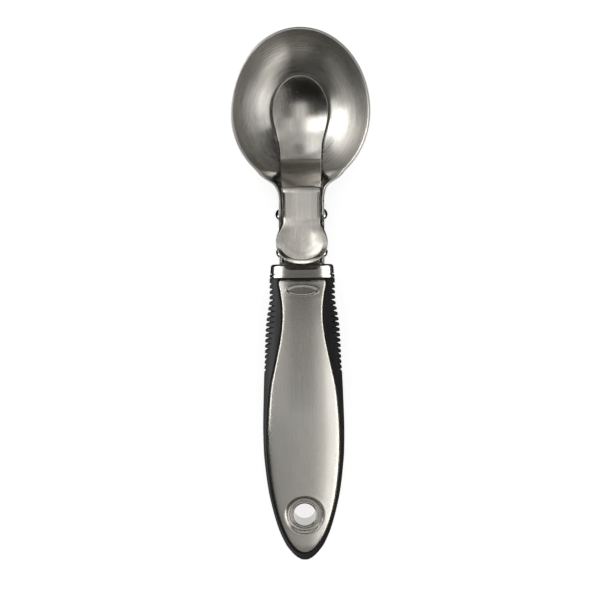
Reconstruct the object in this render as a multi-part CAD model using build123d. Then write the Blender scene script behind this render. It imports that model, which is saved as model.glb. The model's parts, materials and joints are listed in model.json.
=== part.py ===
from build123d import *
import os
import math
import numpy as np

# Lever ice cream scoop: an oval stamped bowl with a channel neck, a rocking ejector lever with a thumb pad,
# a cast bolster with a tang, and a handle made of a rigid core, a soft grip and two sheet covers.
# Millimetres. Working frame while building: X across, Y along the scoop (bowl at +Y, handle at -Y),
# Z up out of the bowl, bowl rim level at Z = RIM_Z, bowl bottom at Z = 0.
# At the end everything is tipped about X until bowl and handle end both touch Z = 0, which is how the
# scoop lies on a table, and centred over its bounding box.

# ---------------------------------------------------------------- driving dimensions
BOWL_A = 28.8            # half width of the rim
BOWL_B_TIP = 34.5        # centre of the bowl to its tip
BOWL_B_NECK = 31.5       # centre of the bowl to where its ellipse would close at the neck
BOWL_C = 26.0            # depth
BOWL_Y = 77.8            # centre of the bowl
SHEET = 1.0              # bowl and neck sheet
RIM_Z = 26.0
NECK_HW = 9.4            # half width of the neck outside
NECK_END = 14.6          # where the neck meets the bolster collar

PIVOT_Y, PIVOT_Z = 35.4, 22.0
REAR_Y, REAR_Z = 19.6, 16.2
RIVET_R = 1.5
RIVET_FIT = 0.02         # rivet shank under its holes, on radius
HEAD_R, HEAD_H = 2.25, 1.4
BUSH_R, BUSH_BORE = 2.2, 1.52
PIVOT_FIT = 0.05         # lever ears on the bush, on radius
WASHER_R = 3.4

LEVER_T = 1.2
LEVER_HW = 7.95          # half width of the lever between the neck walls
TONGUE_GAP = 0.4         # ejector tongue to bowl
EAR_T = 1.2
LEVER_TRAVEL = 20.0      # degrees from rest to full lift
REST_TILT = 2.835        # degrees, tips bowl and handle end onto one plane

WIRE_R = 0.45
COIL_R = 3.1             # mean coil radius
COIL_PITCH = 1.02
COIL_TURNS = 5
LEG_LEAN = 20.0          # degrees, slope of the upper leg
LEG_DOWN, LEG_UP = 10.6, 9.6

COLLAR_0 = 9.2           # rear face of the bolster collar
TONGUE_HW = 7.45         # bolster tongue inside the neck
TANG_HW, TANG_END = 6.0, -34.0
TANG_FIT = 0.06
PIN_R = 1.5

HANDLE_0 = 8.9           # front end of grip and core
HOLE_Y = -89.6
HOLE_BORE = 4.7          # hanging hole, radius
SLEEVE_R = 5.35
LIP_R = 6.1
DIMPLE_R = 7.7
DIMPLE_FLOOR = 5.45      # from the handle's middle to the dimple floor
COVER_T = 0.8
COVER_PROUD = 0.3        # covers stand this much above the grip
GRIP_T = 2.2
GROOVE_W, GROOVE_D = 0.75, 1.0
FIN_PITCH, FIN_SLOT, FIN_DEPTH, FIN_N = 2.24, 0.95, 1.45, 17
FIN_Y0 = 6.1             # first slot


# ---------------------------------------------------------------- helpers
def pchip(xs, ys):
    x, y = np.array(xs, float), np.array(ys, float)
    o = np.argsort(x)
    x, y = x[o], y[o]
    h = np.diff(x)
    d = np.diff(y) / h
    m = np.zeros_like(y)
    m[0], m[-1] = d[0], d[-1]
    for i in range(1, len(x) - 1):
        if d[i - 1] * d[i] > 0:
            w1, w2 = 2 * h[i] + h[i - 1], h[i] + 2 * h[i - 1]
            m[i] = (w1 + w2) / (w1 / d[i - 1] + w2 / d[i])

    def f(q):
        q = float(min(max(q, x[0]), x[-1]))
        i = int(min(np.searchsorted(x, q, side="right") - 1, len(x) - 2))
        t = (q - x[i]) / h[i]
        return float(
            (2 * t**3 - 3 * t**2 + 1) * y[i] + (t**3 - 2 * t**2 + t) * h[i] * m[i]
            + (-2 * t**3 + 3 * t**2) * y[i + 1] + (t**3 - t**2) * h[i] * m[i + 1])

    return f


def superellipse(w, h, n, count=28):
    out = []
    for k in range(count):
        t = 2 * math.pi * k / count
        c, s = math.cos(t), math.sin(t)
        out.append((w * math.copysign(abs(c) ** (2 / n), c), h * math.copysign(abs(s) ** (2 / n), s)))
    return out


def section(y, w, h, zc, n):
    pts = [Vector(a, y, zc + b) for a, b in superellipse(w, h, n)]
    return Wire([Edge.make_spline(pts, periodic=True)])


def cyl_x(r, x0, x1, y, z):
    return Pos((x0 + x1) / 2, y, z) * Rot(Y=90) * Cylinder(r, x1 - x0)


def cyl_z(r, z0, z1, x, y):
    return Pos(x, y, (z0 + z1) / 2) * Cylinder(r, z1 - z0)


def side_prism(points, x0, x1):
    """Closed polygon in Y-Z, extruded from x0 to x1."""
    w = Wire.make_polygon([Vector(x0, y, z) for y, z in points], close=True)
    return Solid.extrude(Face(w), Vector(x1 - x0, 0, 0))


def top_prism(wire, z0, z1):
    """Closed wire at Z = 0, extruded from z0 to z1."""
    return Solid.extrude(Face(wire), Vector(0, 0, z1 - z0)).moved(Location((0, 0, z0)))


def group(solids):
    return Compound(list(solids))


# ---------------------------------------------------------------- bowl and neck, one stamping
def ellipsoid(t):
    a, c = BOWL_A - t, BOWL_C - t
    ball = Solid.make_sphere(1.0, angle1=-90, angle2=90, angle3=360)
    parts = []
    for b, sign in ((BOWL_B_TIP - t, 1), (BOWL_B_NECK - t, -1)):
        e = scale(ball, by=(a, b, c)).moved(Location((0, BOWL_Y, RIM_Z)))
        keep = Pos(0, BOWL_Y + sign * 50, 0) * Box(100, 100, 100)
        parts.append(e & keep)
    return parts[0] + parts[1]


neck_w = pchip([14.0, 30, 41.4, 43.0, 44.6, 46.3, 48.0, 49.7, 51.5, 54.0],
               [9.4, 9.4, 9.4, 9.55, 9.85, 10.45, 11.75, 13.9, 16.2, 18.0])
neck_floor = pchip([14.0, 24, 34, 44.0, 48.0, 50.0, 52.0, 54.0],
                   [8.7, 9.8, 10.9, 12.0, 12.35, 12.3, 11.9, 11.2])
neck_n = pchip([14.0, 40, 44.6, 48.0, 50, 54.0], [7.0, 7.0, 5.6, 4.0, 3.0, 2.3])


def neck_block(t, y0):
    wires = []
    for y in (y0, 20, 26, 32, 38, 41.4, 42.6, 43.8, 45.0, 46.2, 47.4, 48.6, 49.8, 51.0, 52.4, 54.0):
        w, zb, n = neck_w(y) - t, neck_floor(y) + t, neck_n(y)
        h = RIM_Z - zb
        pts = []
        for k in range(25):
            a = math.pi * k / 24
            c, s = math.cos(a), math.sin(a)
            pts.append(Vector(w * math.copysign(abs(c) ** (2 / n), c), y, RIM_Z - h * abs(s) ** (2 / n)))
        top = RIM_Z + 6
        u = Edge.make_spline(pts, tangents=[Vector(0, 0, -1), Vector(0, 0, 1)])
        wires.append(Wire([Edge.make_line(Vector(w, y, top), pts[0]), u,
                           Edge.make_line(pts[-1], Vector(-w, y, top)),
                           Edge.make_line(Vector(-w, y, top), Vector(w, y, top))]))
    return Solid.make_loft(wires, ruled=True)


# top edge of the neck walls, level with the rim from the bowl on
wall_top = [(13.0, 20.4), (14.6, 20.4), (20.0, 20.7), (24.5, 21.3), (27.8, 22.9), (30.5, 24.9), (32.6, 26.1),
            (35.4, 26.7), (39.0, 26.7), (43.0, 26.3), (46.5, 26.0)]


def make_bowl():
    outer = ellipsoid(0) + neck_block(0, NECK_END)
    inner = ellipsoid(SHEET) + neck_block(SHEET, NECK_END - 2)
    inner = inner + Pos(0, BOWL_Y, RIM_Z + 10) * Box(8, 8, 20)
    shell = outer - inner
    cutter = side_prism(wall_top + [(130, 26.0), (130, 80), (13.0, 80)], -60, 60)
    shell = shell - cutter
    for y, z in ((PIVOT_Y, PIVOT_Z), (REAR_Y, REAR_Z)):
        shell = shell - cyl_x(RIVET_R, -12, 12, y, z)
    return shell


# ---------------------------------------------------------------- ejector lever, one stamping
def bowl_in_z(y):
    b = (BOWL_B_TIP if y > BOWL_Y else BOWL_B_NECK) - SHEET
    s = (y - BOWL_Y) / b
    return RIM_Z - (BOWL_C - SHEET) * math.sqrt(max(0.0, 1 - s * s))


def bowl_in_slope(y):
    return (bowl_in_z(y + 0.01) - bowl_in_z(y - 0.01)) / 0.02


lever_path = []          # underside of the sheet along x = 0, from tongue tip to pad end
for yy in (99.0, 96.0, 93.0, 89.5, 86.0, 82.0, 77.8, 73.5, 69.5, 66.0, 63.0, 60.5):
    sl = bowl_in_slope(yy)
    nrm = math.hypot(1, sl)
    lever_path.append((yy - TONGUE_GAP * sl / nrm, bowl_in_z(yy) + TONGUE_GAP / nrm))
lever_path += [(58.0, 8.0), (55.9, 10.5), (54.1, 13.3), (52.6, 16.4), (51.2, 19.8), (49.9, 23.0), (48.5, 25.5),
               (46.7, 26.9), (44.6, 27.35), (41.0, 27.4), (37.0, 27.4), (33.5, 27.5), (30.5, 27.95), (27.0, 28.9),
               (23.0, 30.1), (19.5, 30.9), (16.8, 31.2), (14.6, 31.2)]
lever_dish = pchip([14.0, 18, 22, 27, 31, 34, 46, 48.5, 52, 56, 60, 100],
                   [0.004, 1 / 60, 1 / 48, 1 / 60, 1 / 120, 0.0, 0.0, 1 / 300, 1 / 90, 1 / 45, 1 / 29, 1 / 27.0])


def strip(path, half):
    """Thin strip along a side profile, dished across by lever_dish."""
    p = np.array(path)
    wires = []
    for i in range(len(p)):
        a, b = p[max(i - 1, 0)], p[min(i + 1, len(p) - 1)]
        t = (b - a) / np.linalg.norm(b - a)
        n = np.array([t[1], -t[0]])
        if n[1] < 0:
            n = -n
        k = lever_dish(p[i][0])

        def at(x, lift):
            q = p[i] + n * (k * x * x / 2 + lift)
            return Vector(x, q[0], q[1])

        xs = np.linspace(-half, half, 9)
        lo = Edge.make_spline([at(x, 0) for x in xs])
        hi = Edge.make_spline([at(x, LEVER_T) for x in xs[::-1]])
        wires.append(Wire([lo, Edge.make_line(at(half, 0), at(half, LEVER_T)), hi,
                           Edge.make_line(at(-half, LEVER_T), at(-half, 0))]))
    return Solid.make_loft(wires, ruled=False)


# half widths of the lever seen from above
tongue_outline = [(0.0, 94.6), (3.5, 94.0), (6.6, 92.2), (9.2, 89.3), (10.9, 85.6), (11.75, 81.4), (11.75, 77.4),
                  (11.1, 73.0), (10.1, 69.0), (9.2, 65.0), (8.6, 61.0), (8.25, 57.0), (8.05, 53.0), (7.95, 48.0),
                  (7.95, 42.0), (7.95, 36.0), (8.0, 33.6), (8.5, 31.2), (9.4, 28.8), (10.2, 26.4), (10.6, 24.0),
                  (10.55, 21.8), (9.7, 19.4), (8.0, 17.7), (5.6, 16.5), (2.8, 15.9), (0.0, 15.7)]


def lever_outline():
    r = [Vector(x, y, 0) for x, y in tongue_outline]
    l = [Vector(-x, y, 0) for x, y in tongue_outline[-2:0:-1]]
    return Wire([Edge.make_spline(r + l, periodic=True)])


def make_lever():
    sheet = strip(lever_path, 14.0)
    body = sheet & top_prism(lever_outline(), -5, 45)
    ear = [(41.5, 28.0), (40.6, 25.0), (39.2, 21.6)]
    for a in range(-20, -161, -14):
        ear.append((PIVOT_Y + 4.0 * math.cos(math.radians(a)), PIVOT_Z + 4.0 * math.sin(math.radians(a))))
    ear += [(31.6, 21.6), (30.9, 24.6), (30.4, 28.2)]
    for s in (-1, 1):
        x1 = s * LEVER_HW
        x0 = s * (LEVER_HW - EAR_T)
        body = body + side_prism(ear, min(x0, x1), max(x0, x1))
    body = body - cyl_x(BUSH_R + PIVOT_FIT, -12, 12, PIVOT_Y, PIVOT_Z)
    return body


# ---------------------------------------------------------------- pivot and small hardware
def rivet(y, z):
    """Solid shank with a domed head on each side, turned about X."""
    half, r = NECK_HW + 0.02, RIVET_R - RIVET_FIT
    ball = (HEAD_R**2 + HEAD_H**2) / (2 * HEAD_H)
    cx, t = half + HEAD_H - ball, math.asin(HEAD_R / ball) / 2
    a, b = Vector(-half - HEAD_H, 0, 0), Vector(-half, HEAD_R, 0)
    c, d = Vector(half, HEAD_R, 0), Vector(half + HEAD_H, 0, 0)
    ma = Vector(-cx - ball * math.cos(t), ball * math.sin(t), 0)
    md = Vector(cx + ball * math.cos(t), ball * math.sin(t), 0)
    wire = Wire([Edge.make_three_point_arc(a, ma, b), Edge.make_line(b, Vector(-half, r, 0)),
                 Edge.make_line(Vector(-half, r, 0), Vector(half, r, 0)), Edge.make_line(Vector(half, r, 0), c),
                 Edge.make_three_point_arc(c, md, d), Edge.make_line(d, a)])
    return Pos(0, y, z) * revolve(Face(wire), axis=Axis.X)


def make_bush():
    half = NECK_HW - SHEET - 0.05
    return cyl_x(BUSH_R, -half, half, PIVOT_Y, PIVOT_Z) - cyl_x(BUSH_BORE, -12, 12, PIVOT_Y, PIVOT_Z)


def make_washers():
    out = []
    for s in (-1, 1):
        a, b = s * (NECK_HW - SHEET - 0.08), s * (LEVER_HW + 0.04)
        out.append(cyl_x(WASHER_R, min(a, b), max(a, b), PIVOT_Y, PIVOT_Z)
                   - cyl_x(BUSH_R + 0.03, -12, 12, PIVOT_Y, PIVOT_Z))
    return group(s.solid() for s in out)


def make_spring():
    """Torsion spring round the bush: one leg up under the thumb pad, one down on the bolster tongue."""
    length = COIL_PITCH * (COIL_TURNS + 0.5 - LEG_LEAN / 360)
    helix = Edge.make_helix(COIL_PITCH, length, COIL_R)
    profile = Face(Wire([Edge.make_circle(WIRE_R, Plane(origin=helix @ 0, z_dir=helix % 0))]))
    spring = sweep(profile, path=Wire([helix]), is_frenet=True)
    for q, t, leg in ((helix @ 0, (helix % 0) * -1, LEG_DOWN), (helix @ 1, helix % 1, LEG_UP)):
        spring = spring + Solid.make_cylinder(WIRE_R, leg, Plane(origin=q, z_dir=t))
    return spring.moved(Location((-length / 2, PIVOT_Y, PIVOT_Z), (0, 90, 0)))


# ---------------------------------------------------------------- bolster: collar, front tongue, tang
spine = pchip([16, 9, 0, -15, -30, -45, -60, -75, -90, -102, -110.6],
              [15.5, 16.0, 16.9, 18.0, 18.65, 18.8, 18.4, 17.5, 16.2, 15.05, 14.2])


def make_bolster():
    ring = []
    for y, w, h in ((14.4, 12.3, 7.4), (14.0, 12.9, 8.0), (13.2, 13.15, 8.25), (11.8, 13.25, 8.35), (10.7, 13.3, 8.4)):
        ring.append(section(y, w, h, 15.8, 2.7))
    collar = Solid.make_loft(ring, ruled=False)
    neck = Solid.make_loft([section(10.7, 12.7, 7.8, 15.8, 2.7), section(10.2, 12.7, 7.8, 15.8, 2.7)], ruled=True)
    band = Solid.make_loft([section(10.2, 13.5, 8.5, 15.8, 2.7), section(COLLAR_0, 13.6, 8.6, 15.8, 2.7)], ruled=True)
    body = collar + neck + band
    # the collar's top falls away into the neck in one ramp
    ramp = [(12.4, 40.0), (12.4, 23.9), (13.2, 23.3), (14.0, 22.5), (15.0, 21.3), (16.2, 20.1), (17.6, 19.1), (20.0, 18.55),
            (22.0, 18.38), (29, 18.38), (29, 40)]
    tongue = side_prism([(12.0, 11.6), (26.4, 12.7), (27.0, 13.5), (27.0, 17.8), (26.4, 18.9), (12.0, 25.0)],
                        -TONGUE_HW, TONGUE_HW)
    tongue = tongue & Solid.make_loft([section(11.0, 12.9, 8.0, 15.8, 2.7), section(29.0, 12.9, 8.0, 15.8, 2.7)], ruled=True)
    body = body + tongue
    body = body - side_prism(ramp, -TONGUE_HW, TONGUE_HW)
    body = body + tang(0.0)
    body = body - cyl_x(RIVET_R, -12, 12, REAR_Y, REAR_Z)
    for y in PIN_YS:
        body = body - cyl_z(PIN_R + 0.01, 0, 40, 0, y)
    return body


def tang(grow):
    g = grow
    return side_prism([(COLLAR_0 + 1.0, 14.1 - g), (COLLAR_0 + 1.0, 17.9 + g), (TANG_END + 2, 20.5 + g),
                       (TANG_END - g, 19.7 + g), (TANG_END - g, 17.4 - g), (TANG_END + 2, 16.9 - g)],
                      -TANG_HW - g, TANG_HW + g)


PIN_YS = (-10.0, -26.0)
STUD_YS = (1.5, -43.0, -70.0)

# ---------------------------------------------------------------- handle envelope
half_h = pchip([16, 9, 0, -15, -30, -45, -60, -75, -88, -97, -103, -107, -109.2, -110.3, -110.6],
               [8.2, 8.3, 8.7, 9.4, 9.9, 10.1, 9.8, 8.9, 7.6, 6.6, 5.5, 4.1, 2.8, 1.5, 0.95])
half_w = pchip([16, 9.1, 5, 0.0, -4.2, -8.4, -12.6, -16.9, -25.2, -33.7, -42.2, -55.0, -63.4, -72.0, -80.6, -89.2,
                -93.5, -97.9, -102.2, -104.4, -106.4, -108.6, -109.8, -110.4, -110.6],
               [13.4, 13.7, 13.7, 13.8, 14.4, 15.1, 15.5, 15.75, 16.05, 16.45, 16.75, 17.05, 16.9, 16.2, 15.1, 13.3,
                12.15, 10.75, 8.9, 7.75, 6.3, 4.35, 2.9, 1.6, 1.1])
STATIONS = [5, 0, -5, -10, -16, -24, -33, -42, -52, -62, -71, -79, -86, -92, -97, -101, -104, -106.5, -108.3,
            -109.6, -110.3]
POWER = 2.7


def envelope(inset, y0, y1):
    ys = [y0] + [y for y in STATIONS if y1 + 0.25 < y < y0 - 1.5] + [y1]
    return Solid.make_loft([section(y, half_w(y) - inset, half_h(y) - inset, spine(y), POWER) for y in ys], ruled=False)


# half widths of the covers seen from above
cover_half = [(9.85, 7.2), (9.85, 5.8), (9.45, 4.1), (9.1, 2.1), (8.8, 0.0), (8.55, -2.1), (8.45, -4.1), (8.4, -6.2),
              (8.45, -8.3), (8.6, -10.4), (8.85, -12.5), (9.45, -16.7), (10.3, -20.9), (11.2, -25.0), (12.15, -29.3),
              (13.1, -33.5), (13.85, -37.7), (14.35, -41.9), (14.75, -46.1), (15.05, -50.5), (15.2, -54.7),
              (15.25, -58.9), (15.2, -63.1), (15.0, -67.4), (14.7, -71.7), (14.25, -76.0), (13.65, -80.3),
              (12.9, -84.7), (11.95, -88.9), (10.65, -93.2), (8.95, -97.6), (6.75, -101.9), (5.35, -103.9),
              (3.6, -105.9), (1.8, -107.0), (0.0, -107.4)]
COVER_TOP, COVER_CORNER = 8.45, 1.25


def cover_wire(grow):
    p = np.array(cover_half)
    pts = []
    for i in range(len(p)):
        a, b = p[max(i - 1, 0)], p[min(i + 1, len(p) - 1)]
        t = (b - a) / np.linalg.norm(b - a)
        n = np.array([-t[1], t[0]])
        if i == len(p) - 1:
            n = np.array([0.0, -1.0])
        q = p[i] + n * grow
        pts.append((float(q[0]), float(q[1])))
    r, top = COVER_CORNER + grow, COVER_TOP + grow
    x0, y0 = pts[0]
    cx = x0 - r
    k = r * (1 - math.sqrt(0.5))
    round_tip = [Vector(x, y, 0) for x, y in pts] + [Vector(-x, y, 0) for x, y in pts[-2::-1]]
    ca = Edge.make_three_point_arc(Vector(cx, top, 0), Vector(x0 - k, top - k, 0), Vector(x0, y0, 0))
    cb = Edge.make_three_point_arc(Vector(-x0, y0, 0), Vector(k - x0, top - k, 0), Vector(-cx, top, 0))
    return Wire([Edge.make_line(Vector(-cx, top, 0), Vector(cx, top, 0)), ca, Edge.make_spline(round_tip), cb])


HOLE_Z = spine(HOLE_Y)
HOLE_TILT = math.degrees(math.atan((spine(HOLE_Y + 3) - spine(HOLE_Y - 3)) / 6))


def on_hole(shape):
    """Put a shape made about Z at the origin onto the hanging hole's axis."""
    return Pos(0, HOLE_Y, HOLE_Z) * Rot(X=HOLE_TILT) * shape


def hole_cyl(r, d0=-30.0, d1=30.0):
    return on_hole(Pos(0, 0, (d0 + d1) / 2) * Cylinder(r, d1 - d0))


def split_front_rear(shape):
    ss = [s for s in shape.solids() if s.volume > 5]
    ss.sort(key=lambda s: s.center().Z - spine(s.center().Y))
    return ss[0], ss[-1]


def make_covers(prism):
    ring = (envelope(-COVER_PROUD, HANDLE_0, -110.6) - envelope(COVER_T - COVER_PROUD, HANDLE_0 + 0.5, -109.9)) & prism
    rear, front = split_front_rear(ring)
    skin = envelope(-COVER_PROUD, HANDLE_0, -110.6)
    out = {}
    for name, piece, s in (("front_cover", front, 1), ("rear_cover", rear, -1)):
        d0, d1 = sorted((s * (DIMPLE_FLOOR - COVER_T), s * 12.0))
        boss = hole_cyl(DIMPLE_R + 0.75, d0, d1) & skin
        # sunk round dimple with a sloped wall
        f = Cone(DIMPLE_R - 0.6, DIMPLE_R + 0.75, 3.0, align=(Align.CENTER, Align.CENTER, Align.MIN))
        if s < 0:
            f = Rot(X=180) * f
        dimple = on_hole(Pos(0, 0, s * DIMPLE_FLOOR) * f)
        piece = piece + boss - dimple - hole_cyl(SLEEVE_R + 0.05)
        out[name] = piece
    return out


def make_sleeve():
    """Flanged tube through the hanging hole, turned about the hole's axis."""
    f = DIMPLE_FLOOR + 0.03
    lip = 1.05
    k = math.sqrt(0.5)
    rm = (LIP_R - HOLE_BORE) / 2
    cx = HOLE_BORE + rm
    pts = []
    e = []

    def v(r, z):
        return Vector(r, 0, z)

    e.append(Edge.make_line(v(HOLE_BORE, -(f + lip - rm)), v(HOLE_BORE, f + lip - rm)))
    e.append(Edge.make_three_point_arc(v(HOLE_BORE, f + lip - rm), v(cx, f + lip), v(LIP_R, f + lip - rm)))
    e.append(Edge.make_line(v(LIP_R, f + lip - rm), v(LIP_R, f)))
    e.append(Edge.make_line(v(LIP_R, f), v(SLEEVE_R, f)))
    e.append(Edge.make_line(v(SLEEVE_R, f), v(SLEEVE_R, -f)))
    e.append(Edge.make_line(v(SLEEVE_R, -f), v(LIP_R, -f)))
    e.append(Edge.make_line(v(LIP_R, -f), v(LIP_R, -(f + lip - rm))))
    e.append(Edge.make_three_point_arc(v(LIP_R, -(f + lip - rm)), v(cx, -(f + lip)), v(HOLE_BORE, -(f + lip - rm))))
    return on_hole(revolve(Face(Wire(e)), axis=Axis.Z))


def fin_slots():
    """Cross slots up both flanks, one closed prism each, wrapping from front to back round the side."""
    out = []
    for i in range(FIN_N):
        y = FIN_Y0 - i * FIN_PITCH
        u = i / (FIN_N - 1)
        reach = 0.40 + 0.30 * math.sin(math.pi * min(1.0, u * 1.12)) ** 0.8 if u < 0.89 else 0.40
        w, h, zc = half_w(y), half_h(y), spine(y)
        zm = reach * h
        inner = []
        for j in range(9):
            z = -zm + 2 * zm * j / 8
            x = (w - FIN_DEPTH) * (1 - (abs(z) / (h - FIN_DEPTH * 0.8)) ** POWER) ** (1 / POWER)
            inner.append((x, zc + z))
        face_pts = inner + [(w + 4, zc + zm + 0.4), (w + 4, zc - zm - 0.4)]
        for s in (-1, 1):
            wire = Wire.make_polygon([Vector(s * x, y - FIN_SLOT / 2, z) for x, z in face_pts], close=True)
            out.append(Solid.extrude(Face(wire), Vector(0, FIN_SLOT, 0)))
    return out


def make_handle():
    parts = {}
    prism = top_prism(cover_wire(0.0), -10, 50)
    prism_in = top_prism(cover_wire(-0.3), -10, 50)
    prism_out = top_prism(cover_wire(GROOVE_W), -10, 50)
    parts.update(make_covers(prism))

    e_core = envelope(GRIP_T, HANDLE_0, -107.0)
    under = COVER_T - COVER_PROUD + 0.02
    bed = envelope(under, HANDLE_0, -109.9) & top_prism(cover_wire(-0.35), -10, 50)
    core = e_core + bed
    core = core - tang(TANG_FIT)
    for y in PIN_YS:
        core = core - cyl_z(PIN_R + 0.01, spine(y) - 6.0, spine(y) + 6.0, 0, y)
    for y in STUD_YS:
        zc = spine(y)
        core = core - cyl_z(1.55, zc + half_h(y) - 5.0, zc + 20, 0, y) - cyl_z(1.55, zc - 20, zc - half_h(y) + 5.0, 0, y)
    core = core - hole_cyl(SLEEVE_R + 0.05)
    core = core - hole_cyl(DIMPLE_R + 0.85, DIMPLE_FLOOR - COVER_T - 0.03, 20) - hole_cyl(DIMPLE_R + 0.85, -20, -(DIMPLE_FLOOR - COVER_T - 0.03))
    parts["handle_core"] = core

    grip = envelope(0.0, HANDLE_0, -110.6)
    grip = grip - envelope(GRIP_T - 0.02, HANDLE_0 + 0.5, -107.03)
    grip = grip - prism_in
    grip = grip - (prism_out - envelope(GROOVE_D, HANDLE_0 + 0.5, -109.4))
    grip = grip - fin_slots()
    parts["soft_grip"] = grip

    parts["hang_sleeve"] = make_sleeve()
    cut = envelope(under + 0.01, HANDLE_0, -109.9)
    for name, s in (("front_cover_studs", 1), ("rear_cover_studs", -1)):
        studs = []
        for y in STUD_YS:
            zc, h = spine(y), half_h(y)
            z0, z1 = sorted((zc + s * (h - 4.6), zc + s * (h + 4)))
            studs.append((cyl_z(1.5, z0, z1, 0, y) & cut).solid())
        parts[name] = group(studs)
    parts["tang_pins"] = group(cyl_z(PIN_R, spine(y) - 5.9, spine(y) + 5.9, 0, y).solid() for y in PIN_YS)
    return parts


def working_frame():
    parts = {}
    parts["scoop_bowl"] = make_bowl()
    parts["ejector_lever"] = make_lever()
    parts["pivot_rivet"] = rivet(PIVOT_Y, PIVOT_Z)
    parts["rear_rivet"] = rivet(REAR_Y, REAR_Z)
    parts["pivot_bush"] = make_bush()
    parts["pivot_washers"] = make_washers()
    parts["return_spring"] = make_spring()
    parts["neck_bolster"] = make_bolster()
    parts.update(make_handle())
    return parts


def main():
    parts = working_frame()
    tip = Location((0, 0, 0), (REST_TILT, 0, 0))
    parts = {k: v.moved(tip) for k, v in parts.items()}
    boxes = {k: parts[k].bounding_box() for k in ("scoop_bowl", "soft_grip", "rear_cover", "hang_sleeve")}
    low = {k: b.min.Z for k, b in boxes.items()}
    y0 = min(b.min.Y for b in boxes.values())
    y1 = max(b.max.Y for b in boxes.values())
    shift = Location((0, -(y0 + y1) / 2, -min(low.values())))
    print("lowest points", {k: round(v, 3) for k, v in low.items()}, "length", round(y1 - y0, 3))
    at = shift * tip
    for name, p in (("pivot", (0, PIVOT_Y, PIVOT_Z)), ("rear rivet", (0, REAR_Y, REAR_Z)), ("hole", (0, HOLE_Y, HOLE_Z)),
                    ("rim centre", (0, BOWL_Y, RIM_Z)), ("bowl floor", (0, BOWL_Y, 0)), ("origin", (0, 0, 0))):
        q = (at * Location(p)).position
        print(name, [round(v, 4) for v in (q.X, q.Y, q.Z)])
    tilt = math.radians(HOLE_TILT + REST_TILT)
    print("hole axis", [0.0, round(-math.sin(tilt), 6), round(math.cos(tilt), 6)], "hole length", 2 * (DIMPLE_FLOOR + 1.08))
    return {k: v.moved(shift) for k, v in parts.items()}


if __name__ == "__main__":
    os.makedirs("parts", exist_ok=True)
    for name, shape in main().items():
        export_step(shape, f"parts/{name}.step")
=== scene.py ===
import json
import math

import bmesh
import bpy
import numpy as np
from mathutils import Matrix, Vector


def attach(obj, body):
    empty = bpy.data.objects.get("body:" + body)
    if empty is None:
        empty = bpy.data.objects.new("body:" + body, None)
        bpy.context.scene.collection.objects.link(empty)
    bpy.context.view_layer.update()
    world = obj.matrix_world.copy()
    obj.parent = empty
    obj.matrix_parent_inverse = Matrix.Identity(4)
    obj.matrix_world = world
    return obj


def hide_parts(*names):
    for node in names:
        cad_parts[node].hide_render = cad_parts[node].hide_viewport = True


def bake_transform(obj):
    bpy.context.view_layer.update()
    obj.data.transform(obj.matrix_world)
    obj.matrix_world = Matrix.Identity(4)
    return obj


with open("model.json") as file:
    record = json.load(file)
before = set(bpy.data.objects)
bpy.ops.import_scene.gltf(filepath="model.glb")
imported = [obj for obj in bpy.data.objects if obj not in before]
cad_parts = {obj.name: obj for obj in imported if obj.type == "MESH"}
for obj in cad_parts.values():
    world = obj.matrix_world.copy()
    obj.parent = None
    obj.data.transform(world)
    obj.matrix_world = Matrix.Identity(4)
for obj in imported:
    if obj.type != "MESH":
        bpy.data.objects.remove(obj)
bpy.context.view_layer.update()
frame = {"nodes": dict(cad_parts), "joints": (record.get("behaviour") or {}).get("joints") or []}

# ------------------------------------------------------------------ working frame (mm) to the shared frame (m)
TILT = math.radians(2.835)
CT, ST = math.cos(TILT), math.sin(TILT)
PIVOT = (0.0, 35.4, 22.0)
PV = [v * 1000 for v in frame["joints"][0]["pos_m"]]
SH_Y = PV[1] - (PIVOT[1] * CT - PIVOT[2] * ST)
SH_Z = PV[2] - (PIVOT[1] * ST + PIVOT[2] * CT)


def to_m(p):
    p = np.asarray(p, float)
    x, y, z = p[..., 0], p[..., 1], p[..., 2]
    return np.stack([x, y * CT - z * ST + SH_Y, y * ST + z * CT + SH_Z], -1) / 1000.0


def pchip(xs, ys):
    x, y = np.array(xs, float), np.array(ys, float)
    o = np.argsort(x)
    x, y = x[o], y[o]
    h = np.diff(x)
    d = np.diff(y) / h
    m = np.zeros_like(y)
    m[0], m[-1] = d[0], d[-1]
    for i in range(1, len(x) - 1):
        if d[i - 1] * d[i] > 0:
            w1, w2 = 2 * h[i] + h[i - 1], h[i] + 2 * h[i - 1]
            m[i] = (w1 + w2) / (w1 / d[i - 1] + w2 / d[i])

    def f(q):
        q = np.clip(np.asarray(q, float), x[0], x[-1])
        i = np.clip(np.searchsorted(x, q, side="right") - 1, 0, len(x) - 2)
        t = (q - x[i]) / h[i]
        return ((2 * t**3 - 3 * t**2 + 1) * y[i] + (t**3 - 2 * t**2 + t) * h[i] * m[i]
                + (-2 * t**3 + 3 * t**2) * y[i + 1] + (t**3 - t**2) * h[i] * m[i + 1])

    return f


def smooth(t):
    t = np.clip(t, 0.0, 1.0)
    return t * t * t * (t * (6 * t - 15) + 10)


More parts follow.
